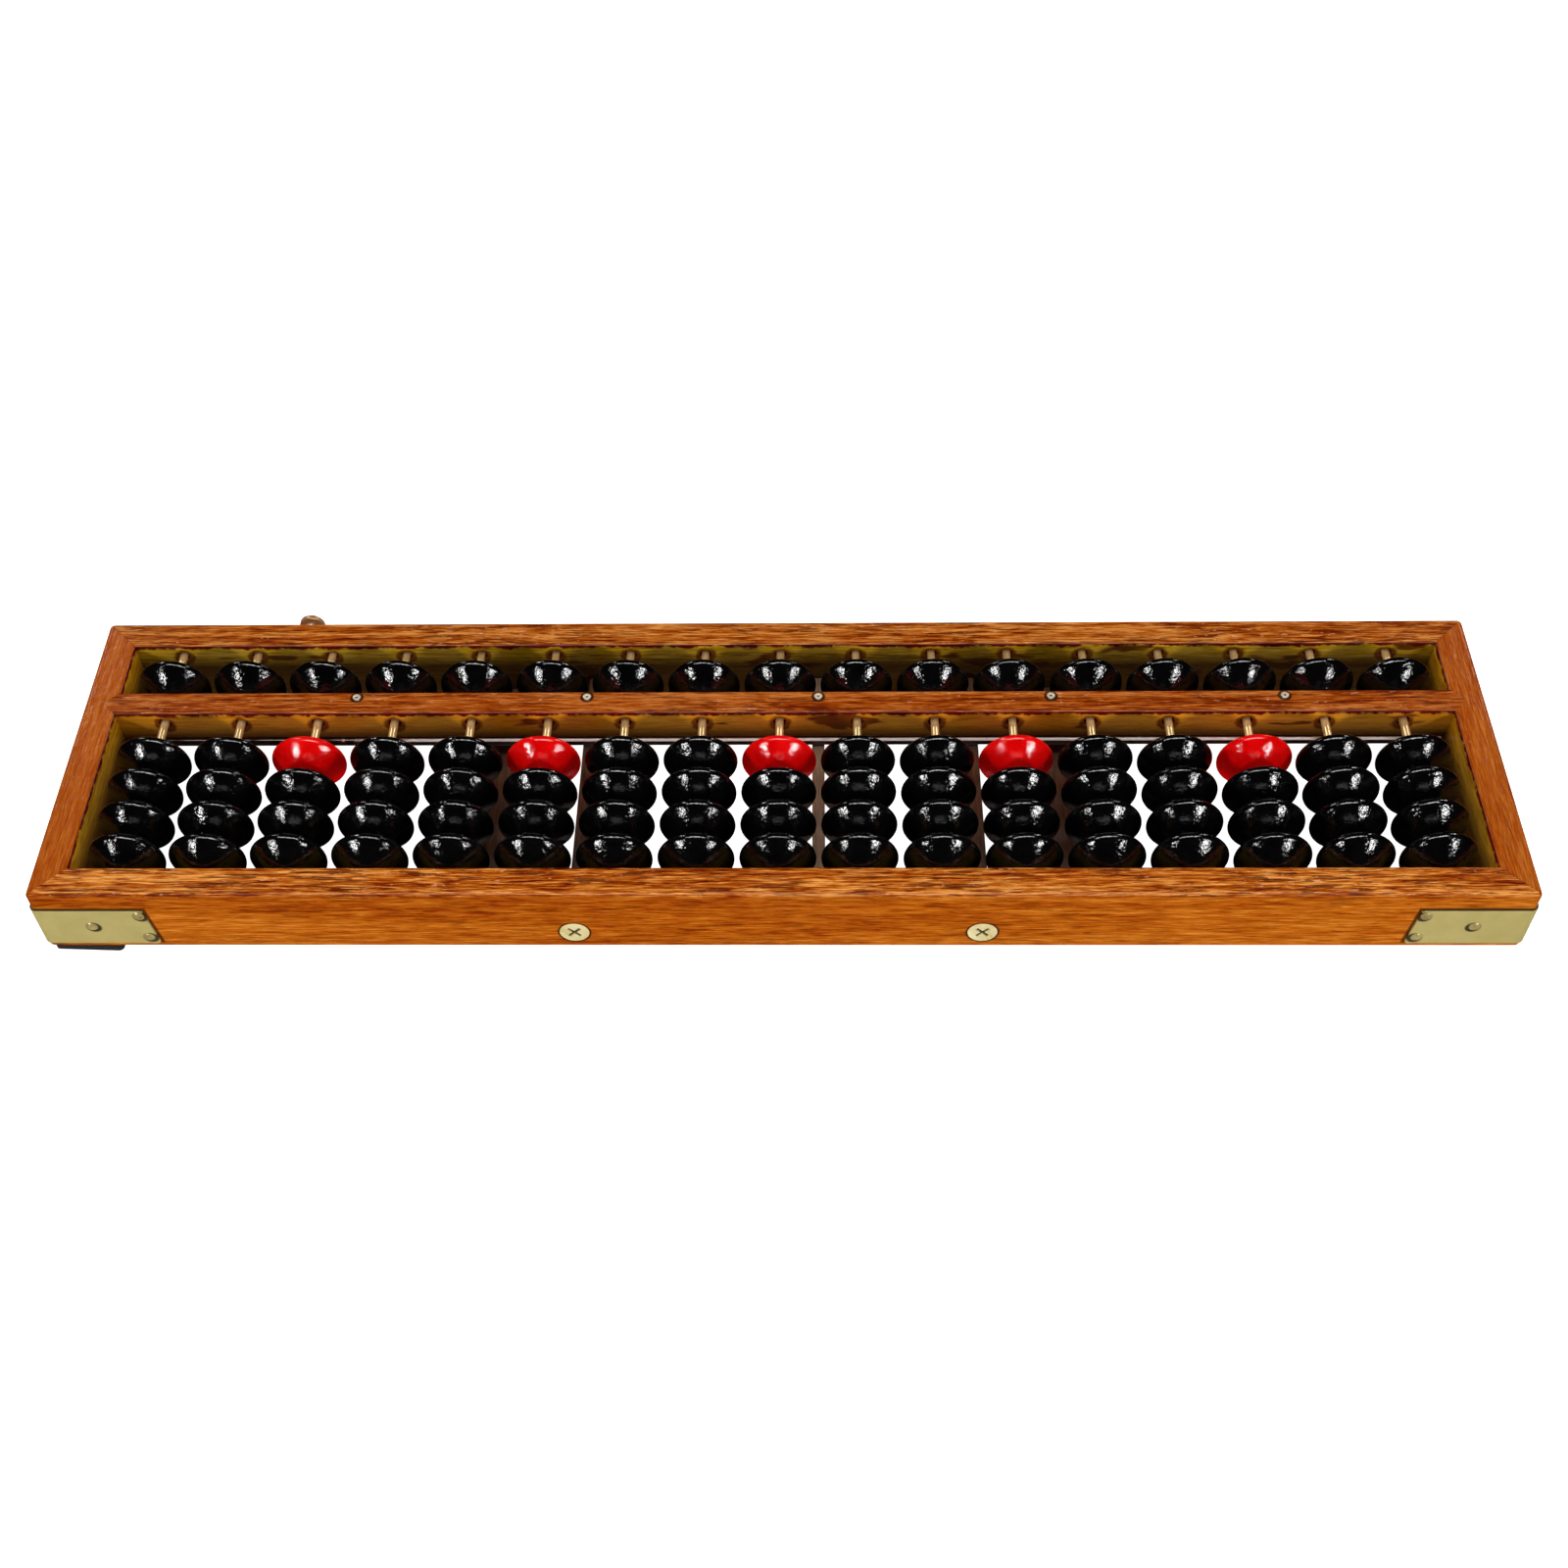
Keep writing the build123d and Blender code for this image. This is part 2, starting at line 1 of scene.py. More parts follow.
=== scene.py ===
"""Wooden desk abacus: materials, fine pieces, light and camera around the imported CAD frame."""

import math

import bmesh
import bpy
from mathutils import Matrix, Vector

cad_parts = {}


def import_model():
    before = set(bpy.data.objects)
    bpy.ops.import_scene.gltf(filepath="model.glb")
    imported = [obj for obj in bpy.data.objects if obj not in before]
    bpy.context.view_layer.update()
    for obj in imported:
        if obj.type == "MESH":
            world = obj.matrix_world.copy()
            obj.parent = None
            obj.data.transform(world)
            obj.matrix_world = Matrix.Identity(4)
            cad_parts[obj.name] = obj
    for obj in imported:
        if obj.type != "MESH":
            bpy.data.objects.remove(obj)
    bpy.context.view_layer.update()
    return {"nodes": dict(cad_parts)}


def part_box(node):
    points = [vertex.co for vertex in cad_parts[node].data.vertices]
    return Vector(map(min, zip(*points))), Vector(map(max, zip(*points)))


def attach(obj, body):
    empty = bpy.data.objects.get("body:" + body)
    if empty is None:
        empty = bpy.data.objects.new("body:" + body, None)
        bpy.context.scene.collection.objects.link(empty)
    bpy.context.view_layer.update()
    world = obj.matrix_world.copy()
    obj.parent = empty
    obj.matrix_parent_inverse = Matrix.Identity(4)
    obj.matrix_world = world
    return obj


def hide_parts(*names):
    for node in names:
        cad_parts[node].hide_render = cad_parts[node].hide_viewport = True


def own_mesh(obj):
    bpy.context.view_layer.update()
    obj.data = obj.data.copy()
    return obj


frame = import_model()

MM = 0.001

# The viewing angle
CAMERA_PLACE = (0.0092, -0.3360, 0.4170)
CAMERA_DOWN = math.radians(50.0)
CAMERA_TURN = math.radians(-2.03)
CAMERA_ROLL = math.radians(-1.67)
CAMERA_LENS = 44.4
CAMERA_SHIFT = (0.0092, -0.0192)
SENSOR_WIDTH = 36.0


# ---------------------------------------------------------------- node helpers

def colour(red, green, blue):
    """Linear colour from 0 to 255 display values."""
    linear = []
    for value in (red, green, blue):
        share = value / 255
        linear.append(share / 12.92 if share <= 0.04045 else ((share + 0.055) / 1.055) ** 2.4)
    return (*linear, 1.0)


def add(tree, kind, inputs=None, **settings):
    """A shader node; each input is a plain value or a socket to link from."""
    node = tree.nodes.new(kind)
    for key, value in settings.items():
        setattr(node, key, value)
    for key, value in (inputs or {}).items():
        if isinstance(value, bpy.types.NodeSocket):
            tree.links.new(value, node.inputs[key])
        else:
            node.inputs[key].default_value = value
    return node


def math_node(tree, operation, a, b=0.0, c=0.0):
    return add(tree, "ShaderNodeMath", {0: a, 1: b, 2: c}, operation=operation).outputs[0]


def inverse(tree, value):
    """1 minus a mask."""
    return math_node(tree, "SUBTRACT", 1.0, value)


def ramp(tree, factor, stops):
    """Colour ramp over (position, colour) stops."""
    node = add(tree, "ShaderNodeValToRGB", {"Fac": factor})
    elements = node.color_ramp.elements
    while len(elements) < len(stops):
        elements.new(0.5)
    for element, (position, value) in zip(elements, stops):
        element.position = position
        element.color = value
    return node.outputs["Color"]


def grey(value):
    return (value, value, value, 1.0)


def mask(tree, value, low, high):
    """0 below low, 1 above high, smooth between."""
    node = add(tree, "ShaderNodeMapRange", {"Value": value, "From Min": low, "From Max": high},
               interpolation_type="SMOOTHSTEP")
    return node.outputs["Result"]


def mix(tree, factor, a, b):
    """Colour a, turning into colour b as the factor goes from 0 to 1."""
    node = add(tree, "ShaderNodeMix", data_type="RGBA")
    for socket, value in ((node.inputs[0], factor), (node.inputs[6], a), (node.inputs[7], b)):
        if isinstance(value, bpy.types.NodeSocket):
            tree.links.new(value, socket)
        else:
            socket.default_value = value
    return node.outputs[2]


def place(tree, scale=(1.0, 1.0, 1.0), shift=(0.0, 0.0, 0.0)):
    """Object coordinates in metres, scaled along each axis."""
    source = add(tree, "ShaderNodeTexCoord").outputs["Object"]
    return add(tree, "ShaderNodeMapping", {"Vector": source, "Scale": scale, "Location": shift}).outputs[0]


def point_parts(tree):
    """Object coordinates in metres as separate X, Y and Z outputs."""
    return add(tree, "ShaderNodeSeparateXYZ", {0: place(tree)}).outputs


def noise(tree, vector, scale, detail=3.0, roughness=0.5, distortion=0.0):
    node = add(tree, "ShaderNodeTexNoise", {"Vector": vector, "Scale": scale, "Detail": detail,
                                            "Roughness": roughness, "Distortion": distortion})
    return node.outputs["Fac"]


def bump(tree, height, strength, distance):
    inputs = {"Height": height, "Strength": strength, "Distance": distance}
    return add(tree, "ShaderNodeBump", inputs).outputs["Normal"]


def new_material(name):
    """Empty material with one Principled shader."""
    material = bpy.data.materials.new(name)
    material.use_nodes = True
    tree = material.node_tree
    tree.nodes.clear()
    shader = add(tree, "ShaderNodeBsdfPrincipled")
    output = add(tree, "ShaderNodeOutputMaterial")
    tree.links.new(shader.outputs[0], output.inputs["Surface"])
    return material, tree, shader


def feed(tree, shader, **inputs):
    """Set or link the shader's sockets by name, with _ for a space."""
    for key, value in inputs.items():
        socket = shader.inputs[key.replace("_", " ")]
        if isinstance(value, bpy.types.NodeSocket):
            tree.links.new(value, socket)
        else:
            socket.default_value = value


def dress(material, *nodes):
    """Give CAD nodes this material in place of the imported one."""
    for name in nodes:
        piece = frame["nodes"][name]
        piece.data.materials.clear()
        piece.data.materials.append(material)


# ---------------------------------------------------------------- wood

TOP_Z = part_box("front_rail")[1].z
ROD_Z = (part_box("rods")[0].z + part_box("rods")[1].z) / 2
PITCH = 21.0 * MM
PIN_MIDDLE = sum(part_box("marker_pins"), Vector()) / 2
SCREW_PLACE = (52.2 * MM, 8.45 * MM)
FRAME_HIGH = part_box("back_rail")[1]
FRAME_MIDDLE = (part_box("front_rail")[0].y + FRAME_HIGH.y) / 2
PLATE_LOW, PLATE_HIGH = (corner.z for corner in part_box("corner_plate_front_left"))
PLATE_FOOT = 30.1 * MM
PLATE_SLANT = 1.6 / 14.2
# Band just outside the corner plates' edges where their painted shadow lies
PLATE_SHADOW_BAND = (0.2 * MM, 0.6 * MM)
POOL_WAVER = 3.6 * MM

# Inner and outer radius of the soft edge of each round mark
HOLE_STAIN = (2.4 * MM, 3.5 * MM)
PIN_STAIN = (1.6 * MM, 2.1 * MM)
SCREW_STAIN = (4.0 * MM, 4.6 * MM)
# Painted shade ring round each plate nail
NAIL_SHADE_RING = (1.75 * MM, 2.25 * MM)
PIN_RIM = (0.95 * MM, 1.2 * MM)
PIN_DIMPLE = (0.2 * MM, 0.5 * MM)

# The marker pins lie within this distance of the middle
PIN_SPAN = 160 * MM

# Nail places on each wing of a corner plate: distance from the frame's corner, height above the floor
NAIL_SPOTS = ((14.0 * MM, 11.7 * MM), (27.2 * MM, 16.2 * MM), (27.6 * MM, 7.1 * MM))

UPWARD, DOWNWARD = (0.0, 0.0, 1.0), (0.0, 0.0, -1.0)
FRONTWARD, BACKWARD = (0.0, -1.0, 0.0), (0.0, 1.0, 0.0)
LEFTWARD, RIGHTWARD = (-1.0, 0.0, 0.0), (1.0, 0.0, 0.0)


def along_grain(tree, axis, stretch, shift):
    """Coordinates squeezed along the grain, so that noise turns into long streaks."""
    scale = [1.0, 1.0, 1.0]
    scale["XYZ".index(axis)] = stretch
    return place(tree, scale, shift)


def grain(tree, axis, shift):
    """Straight-grained wood: tone from 0 to 1, dark pores and pale specks that are painted glints on the
    varnish.
    """
    broad = noise(tree, along_grain(tree, axis, 0.06, shift), 110, 4, 0.6, 0.9)
    streak = noise(tree, along_grain(tree, axis, 0.09, shift), 900, 4, 0.65, 0.8)
    fibre = noise(tree, along_grain(tree, axis, 0.05, shift), 2600, 3, 0.75, 0.3)
    tone = math_node(tree, "MULTIPLY_ADD", broad, 0.26, math_node(tree, "MULTIPLY", streak, 0.36))
    crisp = math_node(tree, "MULTIPLY_ADD", fibre, 1.25, -0.125)
    tone = math_node(tree, "MULTIPLY_ADD", crisp, 0.38, tone)
    dash = noise(tree, along_grain(tree, axis, 0.09, shift), 1300, 2, 0.55, 0.3)
    where = noise(tree, along_grain(tree, axis, 0.15, shift), 150, 3, 0.6)
    pores = math_node(tree, "MULTIPLY", mask(tree, dash, 0.54, 0.59), mask(tree, where, 0.38, 0.52))
    chip = noise(tree, along_grain(tree, axis, 0.3, shift), 1500, 1, 0.5)
    painted_glints = math_node(tree, "MULTIPLY", mask(tree, chip, 0.68, 0.73), mask(tree, where, 0.44, 0.6))
    return tone, pores, painted_glints


def facing(tree, direction, low, high):
    """1 where the surface looks along a direction, 0 where it looks away."""
    normal = add(tree, "ShaderNodeNewGeometry").outputs["Normal"]
    dot = add(tree, "ShaderNodeVectorMath", {0: normal, 1: direction}, operation="DOT_PRODUCT")
    return mask(tree, dot.outputs["Value"], low, high)


def disc(tree, along, across, inner, outer, waver=0.0):
    """1 inside an uneven disc, from two distances to its centre."""
    squared = math_node(tree, "MULTIPLY_ADD", along, along, math_node(tree, "MULTIPLY", across, across))
    reach = math_node(tree, "ADD", waver, math_node(tree, "SQRT", squared))
    return inverse(tree, mask(tree, reach, inner, outer))


def repeat(tree, value, first, step):
    """Distance to the nearest of many places that are one step apart."""
    turns = math_node(tree, "MULTIPLY_ADD", value, 1 / step, 0.5 - first / step)
    return math_node(tree, "MULTIPLY_ADD", math_node(tree, "FRACT", turns), step, -step / 2)


def stained_marks(tree, waver, marks):
    """Varnish pooled round the rod holes, the marker pins or the screws: 1 on the stain."""
    point = point_parts(tree)
    drip = math_node(tree, "MULTIPLY_ADD", waver, 2.6 * MM, -1.3 * MM)
    if marks == "holes":
        along = repeat(tree, point["X"], 0.0, PITCH)
        across = math_node(tree, "SUBTRACT", point["Z"], ROD_Z - 0.4 * MM)
        return disc(tree, along, across, *HOLE_STAIN, drip)
    if marks == "pins":
        along = repeat(tree, point["X"], PIN_MIDDLE.x, 3 * PITCH)
        across = math_node(tree, "SUBTRACT", point["Y"], PIN_MIDDLE.y)
        inside = math_node(tree, "LESS_THAN", math_node(tree, "ABSOLUTE", point["X"]), PIN_SPAN)
        return math_node(tree, "MULTIPLY", inside, disc(tree, along, across, *PIN_STAIN))
    along = math_node(tree, "SUBTRACT", math_node(tree, "ABSOLUTE", point["X"]), SCREW_PLACE[0])
    across = math_node(tree, "SUBTRACT", point["Z"], SCREW_PLACE[1])
    return disc(tree, along, across, *SCREW_STAIN)


def from_corner(tree):
    """Distance along a rail from the nearest corner of the frame, and height above the floor."""
    point = point_parts(tree)
    from_end = math_node(tree, "SUBTRACT", FRAME_HIGH.x, math_node(tree, "ABSOLUTE", point["X"]))
    centred = math_node(tree, "ABSOLUTE", math_node(tree, "SUBTRACT", point["Y"], FRAME_MIDDLE))
    from_side = math_node(tree, "SUBTRACT", FRAME_HIGH.y - FRAME_MIDDLE, centred)
    return math_node(tree, "MAXIMUM", from_end, from_side), point["Z"]


def plate_painted_shadow(tree):
    """Painted shadow: a dark line in the wood just outside the edge of a corner plate."""
    along, height = from_corner(tree)
    raised = math_node(tree, "SUBTRACT", height, PLATE_LOW)
    slanted = math_node(tree, "MULTIPLY_ADD", raised, PLATE_SLANT, along)
    end = inverse(tree, mask(tree, slanted, PLATE_FOOT + PLATE_SHADOW_BAND[0], PLATE_FOOT + PLATE_SHADOW_BAND[1]))
    above = inverse(tree, mask(tree, height, PLATE_HIGH + PLATE_SHADOW_BAND[0], PLATE_HIGH + PLATE_SHADOW_BAND[1]))
    below = mask(tree, height, PLATE_LOW - PLATE_SHADOW_BAND[1], PLATE_LOW - PLATE_SHADOW_BAND[0])
    return math_node(tree, "MULTIPLY", end, math_node(tree, "MULTIPLY", above, below))


def tinted(value, tint):
    """A colour with its red, green and blue each made stronger or weaker."""
    return tuple(min(channel * share, 1.0) for channel, share in zip(value, tint)) + (1.0,)


def outer_colour(tree, tone, pores, painted_glints, calm, tint):
    """Thickly varnished faces: lively grain on top, plainer on the sides."""
    side = ramp(tree, tone, [(0.38, colour(112, 34, 0)), (0.45, colour(148, 66, 0)),
                             (0.53, colour(172, 92, 12)), (0.61, colour(200, 122, 36))])
    top = ramp(tree, tone, [(at, tinted(value, tint)) for at, value in (
        (0.40, colour(90, 18, 0)), (0.45, colour(150, 60, 4)), (0.50, colour(184, 98, 22)),
        (0.58, colour(236, 160, 80)))])
    upward = facing(tree, UPWARD, 0.3, 0.8)
    lively = math_node(tree, "MULTIPLY", upward, 1.0 - calm)
    even = mix(tree, 0.55, side, colour(172, 68, 0))
    body = mix(tree, lively, mix(tree, upward, side, even), top)
    depth = math_node(tree, "MULTIPLY_ADD", lively, 0.4, 0.35 * (1.0 - calm))
    body = mix(tree, math_node(tree, "MULTIPLY", pores, depth), body, colour(74, 10, 0))
    # Painted highlight: pale glints on the varnish of the upward faces.
    pale = math_node(tree, "MULTIPLY", painted_glints, lively)
    return mix(tree, math_node(tree, "MULTIPLY", pale, 0.5), body, colour(240, 178, 140))


def inner_colour(tree, tone, waver, height, shift, holes, warmth, painted_shade_heights):
    """Thinly coated olive faces, stained in patches and round the rod holes, with painted shade that darkens
    them towards the floor.
    """
    bare = ramp(tree, tone, [(0.37, colour(120, 74, 4)), (0.46, colour(190, 142, 14)),
                             (0.54, colour(228, 176, 34)), (0.63, colour(246, 202, 66))])
    bare = mix(tree, warmth, bare, colour(226, 118, 24))
    patches = noise(tree, place(tree, (0.5, 0.5, 1.8), shift), 90, 2, 0.5)
    stain = mask(tree, patches, 0.61, 0.66)
    if holes:
        stain = math_node(tree, "MAXIMUM", stain, stained_marks(tree, waver, "holes"))
    bare = mix(tree, math_node(tree, "MULTIPLY", stain, 0.85), bare, colour(90, 12, 0))
    # Painted shade: the inward faces turn darker from the top down towards the floor.
    painted_shade = inverse(tree, mask(tree, height, TOP_Z + painted_shade_heights[0] * MM, TOP_Z + painted_shade_heights[1] * MM))
    return mix(tree, math_node(tree, "MULTIPLY", painted_shade, 0.97), bare, colour(44, 20, 6))


def varnish_pool(tree, waver, height, inward):
    """Varnish run dark along the top edges, most of all on the inward faces."""
    lifted = math_node(tree, "MULTIPLY_ADD", waver, POOL_WAVER, height)
    near_top = mask(tree, lifted, TOP_Z + 0.5 * MM, TOP_Z + 1.3 * MM)
    below_top = inverse(tree, mask(tree, height, TOP_Z - 0.3 * MM, TOP_Z - 0.02 * MM))
    strength = 0.25
    for direction in inward:
        strength = math_node(tree, "MAXIMUM", strength, facing(tree, direction, 0.1, 0.35))
    return math_node(tree, "MULTIPLY", math_node(tree, "MULTIPLY", near_top, below_top), strength)


def varnished_wood(name, axis, shift, inward, marks, calm=0.0, warmth=0.0, tint=(1.1, 1.1, 1.05),
                   painted_shade_heights=(-11.0, 0.5)):
    """Orange-brown wood under thick varnish. Inward lists the thinly coated faces, and the painted shade
    heights give the heights in mm from the top where that painted shade is darkest and brightest; marks are
    what stains the wood, while 'plates' paints a shadow line round the corner plates."""
    material, tree, shader = new_material(name)
    tone, pores, painted_glints = grain(tree, axis, shift)
    body = outer_colour(tree, tone, pores, painted_glints, calm, tint)
    waver = noise(tree, place(tree), 260, 3, 0.6)
    height = point_parts(tree)["Z"]
    bare = inner_colour(tree, tone, waver, height, shift, "holes" in marks, warmth, painted_shade_heights)
    for direction in inward:
        body = mix(tree, facing(tree, direction, 0.72, 0.9), body, bare)
    body = mix(tree, varnish_pool(tree, waver, height, inward), body, colour(92, 8, 2))
    for mark in ("pins", "screws"):
        if mark in marks:
            stain = math_node(tree, "MULTIPLY", stained_marks(tree, waver, mark), 0.9)
            body = mix(tree, stain, body, colour(34, 8, 2))
    if "plates" in marks:
        # Painted shadow of the corner plates: a dark line round them on the outer faces
        outward = facing(tree, tuple(-c for c in inward[0]), 0.8, 0.95)
        plate_shadow = math_node(tree, "MULTIPLY", math_node(tree, "MULTIPLY", outward, plate_painted_shadow(tree)), 0.8)
        body = mix(tree, plate_shadow, body, colour(46, 16, 2))

    ripple = noise(tree, place(tree), 420, 2, 0.5)
    relief = math_node(tree, "MULTIPLY_ADD", pores, -0.6, math_node(tree, "MULTIPLY", tone, 0.6))
    skin = bump(tree, relief, 0.3, 0.15 * MM)
    coat = bump(tree, math_node(tree, "MULTIPLY_ADD", relief, 0.6, ripple), 0.35, 0.3 * MM)
    feed(tree, shader, Base_Color=body, Roughness=0.55, Specular_IOR_Level=0.0, Normal=skin, Coat_Weight=0.25,
         Coat_Roughness=0.18, Coat_Normal=coat)
    return material


def stained_wood(name, axis, dark, light, gloss):
    """Plain stained wood for the bars under the beads."""
    material, tree, shader = new_material(name)
    tone, pores, _ = grain(tree, axis, (0.3, 0.1, 0.2))
    body = ramp(tree, tone, [(0.38, dark), (0.62, light)])
    body = mix(tree, math_node(tree, "MULTIPLY", pores, 0.5), body, dark)
    relief = bump(tree, tone, 0.25, 0.15 * MM)
    feed(tree, shader, Base_Color=body, Roughness=0.45, Normal=relief, Coat_Weight=gloss, Coat_Roughness=0.15)
    return material


# ---------------------------------------------------------------- lacquer, metal, rubber

def lacquer(name, deep, thin):
    """Thick brushed lacquer: a glossy, slightly crinkled skin with slow changes of depth."""
    material, tree, shader = new_material(name)
    depth = noise(tree, place(tree), 240, 3, 0.6)
    body = ramp(tree, depth, [(0.35, deep), (0.7, thin)])
    wave = noise(tree, place(tree), 300, 2, 0.5, 0.3)
    pimple = noise(tree, place(tree), 1500, 2, 0.65)
    relief = bump(tree, math_node(tree, "MULTIPLY_ADD", pimple, 0.42, wave), 0.5, 0.32 * MM)
    feed(tree, shader, Base_Color=body, Roughness=0.06, Normal=relief, IOR=1.5)
    return material


def metal(name, bright, dull, roughness, scratch_axis="X", metallic=1.0, scratches=0.15, spots=None):
    """Sheet or turned metal with faint directional scratches and patchy tarnish."""
    material, tree, shader = new_material(name)
    patch = noise(tree, place(tree), 190, 4, 0.65)
    line = noise(tree, along_grain(tree, scratch_axis, 0.02, (0.0, 0.0, 0.0)), 3500, 2, 0.6)
    body = ramp(tree, patch, [(0.3, dull), (0.65, bright)])
    # Spots paint marks dark: painted shade at the plate nails and edges, the screw recesses and the pin
    # dimples, and the pins' dark rim.
    if spots:
        body = mix(tree, spots(tree), body, colour(38, 22, 8))
    rough = math_node(tree, "MULTIPLY_ADD", patch, 0.18, roughness - 0.09)
    relief = bump(tree, line, scratches, 0.05 * MM)
    feed(tree, shader, Base_Color=body, Metallic=metallic, Roughness=rough, Normal=relief)
    return material


def nail_shadow(tree):
    """Painted shade round the nail heads of the corner plates, thicker below each head, and on the plates'
    upward and downward edge faces.
    """
    along, height = from_corner(tree)
    painted_nail_shade = None
    for spot, nail_height in NAIL_SPOTS:
        a = math_node(tree, "SUBTRACT", along, spot)
        b = math_node(tree, "SUBTRACT", height, nail_height - 0.3 * MM)
        halo = disc(tree, a, b, *NAIL_SHADE_RING)
        painted_nail_shade = halo if painted_nail_shade is None else math_node(tree, "MAXIMUM", painted_nail_shade, halo)
    # Painted shade on the plate's upward and downward edge faces
    upper, lower = facing(tree, UPWARD, 0.3, 0.6), facing(tree, DOWNWARD, 0.3, 0.6)
    edge = math_node(tree, "MAXIMUM", upper, lower)
    return math_node(tree, "MULTIPLY", math_node(tree, "MAXIMUM", painted_nail_shade, edge), 0.9)


def screw_recess(tree):
    """Painted shade in the cross recess of the screw heads."""
    depth = point_parts(tree)["Y"]
    centred = math_node(tree, "ABSOLUTE", math_node(tree, "SUBTRACT", depth, FRAME_MIDDLE))
    surface = FRAME_HIGH.y - FRAME_MIDDLE
    sunk = inverse(tree, mask(tree, centred, surface - 0.5 * MM, surface - 0.15 * MM))
    return math_node(tree, "MULTIPLY", sunk, 0.75)


def pin_face(tree):
    """Dark rim of the marker pins, and painted shade in their dimple."""
    point = point_parts(tree)
    along = repeat(tree, point["X"], PIN_MIDDLE.x, 3 * PITCH)
    across = math_node(tree, "SUBTRACT", point["Y"], PIN_MIDDLE.y)
    rim = inverse(tree, disc(tree, along, across, *PIN_RIM))
    return math_node(tree, "MAXIMUM", rim, disc(tree, along, across, *PIN_DIMPLE))


def clearing_lacquer(name):
    """Dark lacquer on the clearing strip, with a painted white highlight line along its upper front edge."""
    material, tree, shader = new_material(name)
    front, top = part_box("clearing_strip")[0].y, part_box("clearing_strip")[1].z
    point = point_parts(tree)
    smear = noise(tree, place(tree, (1.0, 0.3, 0.3)), 300, 3, 0.6)
    body = ramp(tree, smear, [(0.35, colour(10, 3, 3)), (0.65, colour(40, 14, 10))])
    # Painted highlight: a thin white glint line along the upper front edge, from about five rods left of the
    # middle to the right end.
    wander = math_node(tree, "MULTIPLY_ADD", smear, 0.03, point["X"])
    patch = mask(tree, wander, -5.0 * PITCH, -4.7 * PITCH)
    edge = math_node(tree, "MULTIPLY", mask(tree, point["Z"], top - 0.58 * MM, top - 0.46 * MM), patch)
    near = inverse(tree, mask(tree, point["Y"], front + 0.6 * MM, front + 0.8 * MM))
    edge = math_node(tree, "MULTIPLY", edge, near)
    body = mix(tree, edge, body, colour(255, 250, 244))
    relief = bump(tree, smear, 0.3, 0.2 * MM)
    feed(tree, shader, Base_Color=body, Roughness=0.3, Normal=relief, Coat_Weight=0.6, Coat_Roughness=0.1)
    return material


def rubber(name):
    """Matt black rubber with fine specks."""
    material, tree, shader = new_material(name)
    speck = noise(tree, place(tree), 2200, 3, 0.6)
    body = ramp(tree, speck, [(0.3, colour(18, 18, 19)), (0.7, colour(38, 37, 38))])
    feed(tree, shader, Base_Color=body, Roughness=0.8, Normal=bump(tree, speck, 0.4, 0.1 * MM))
    return material


# ---------------------------------------------------------------- dress the CAD nodes


dress(varnished_wood("front_wood", "X", (0.0, 0.0, 0.0), [BACKWARD], ["screws", "plates"]),
      "front_rail")
dress(varnished_wood("back_wood", "X", (0.7, 0.3, 0.1), [FRONTWARD], ["holes", "screws", "plates"],
                     tint=(0.88, 0.82, 0.76), painted_shade_heights=(-9.0, 1.5)),
      "back_rail")
dress(varnished_wood("left_wood", "Y", (0.2, 0.5, 0.6), [RIGHTWARD], ["plates"], calm=0.85, warmth=0.25,
                     tint=(0.92, 0.84, 0.7)),
      "left_rail")
dress(varnished_wood("right_wood", "Y", (0.9, 0.1, 0.3), [LEFTWARD], ["plates"], calm=0.8, warmth=0.25,
                     tint=(0.92, 0.9, 0.75)),
      "right_rail")
dress(varnished_wood("beam_wood", "X", (0.4, 0.8, 0.5), [FRONTWARD, BACKWARD], ["holes", "pins"], calm=0.2,
                     warmth=0.5, tint=(0.74, 0.58, 0.56), painted_shade_heights=(-10.0, -0.5)), "beam")

black = lacquer("black_lacquer", colour(4, 4, 5), colour(10, 9, 9))
red = lacquer("red_lacquer", colour(226, 2, 4), colour(250, 12, 12))
for name in frame["nodes"]:
    if name.startswith(("heaven_bead", "earth_beads")):
        dress(black, name)
    if name.startswith("red_bead"):
        dress(red, name)

dress(metal("plate_brass", colour(206, 190, 118), colour(196, 180, 108), 0.45, metallic=0.4,
            spots=nail_shadow), *[name for name in frame["nodes"] if name.startswith("corner_plate")])
dress(metal("nail_brass", colour(216, 198, 132), colour(170, 148, 88), 0.3, metallic=0.5), "plate_nails")
dress(metal("screw_brass", colour(250, 238, 184), colour(226, 206, 140), 0.3, metallic=0.3,
            spots=screw_recess), "frame_screws")
dress(metal("rod_brass", colour(236, 200, 140), colour(196, 156, 100), 0.22, "Y", metallic=0.4,
            scratches=0.3), "rods")
dress(metal("knob_brass", colour(206, 164, 118), colour(140, 98, 58), 0.34, metallic=0.4), "push_knob")
dress(metal("pin_metal", colour(236, 214, 182), colour(190, 162, 128), 0.3, metallic=0.2, spots=pin_face),
      "marker_pins")
steel = metal("steel", colour(196, 196, 198), colour(150, 150, 152), 0.3, "Y", metallic=0.8)
dress(steel, "plunger_rod")
dress(stained_wood("dark_stain", "Y", colour(40, 18, 6), colour(92, 52, 20), 0.4), "battens", "tie_bars")
dress(stained_wood("slat_wood", "Y", colour(104, 78, 54), colour(150, 116, 88), 0.1), "centre_slat")
dress(clearing_lacquer("strip_lacquer"), "clearing_strip")
dress(rubber("pad_rubber"), "rubber_pads")


# ---------------------------------------------------------------- return spring

SPRING_TURNS = 8.5
SPRING_END_TURNS = 0.9
SPRING_WIRE_R = 0.25 * MM
SPRING_COIL_R = 2.3 * MM


